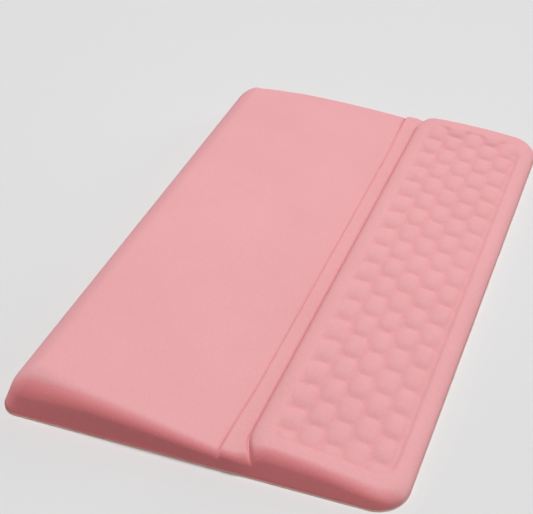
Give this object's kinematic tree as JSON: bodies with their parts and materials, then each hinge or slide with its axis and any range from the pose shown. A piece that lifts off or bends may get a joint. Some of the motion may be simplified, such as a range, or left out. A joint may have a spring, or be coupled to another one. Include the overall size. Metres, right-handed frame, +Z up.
{
  "type": "keyboard wrist rest",
  "caption": "Low foam keyboard platform with a sloping deck, a stop strip and a raised domed wrist rest along its front edge.",
  "frame": {"origin": "centre of the underside, on the desk", "axes": "+Z up, +X along the keyboard to the user's right, +Y away from the user, so the wrist rest is on the -Y side"},
  "size_m": [0.36, 0.24, 0.0274],
  "materials": {
    "base_rubber": "matt fine-textured non-slip sheet",
    "bond_film": "thin cured adhesive film",
    "platform_foam": "firm closed-cell foam",
    "memory_foam": "slow-rebound foam",
    "cover_cloth": "smooth matt knitted stretch cloth, pink"
  },
  "bodies": {
    "root": {"base_sheet": "base_rubber", "base_bond": "bond_film", "platform_core": "platform_foam", "wrist_core": "memory_foam", "cover_bond": "bond_film", "top_cover": "cover_cloth"}
  },
  "joints": []
}
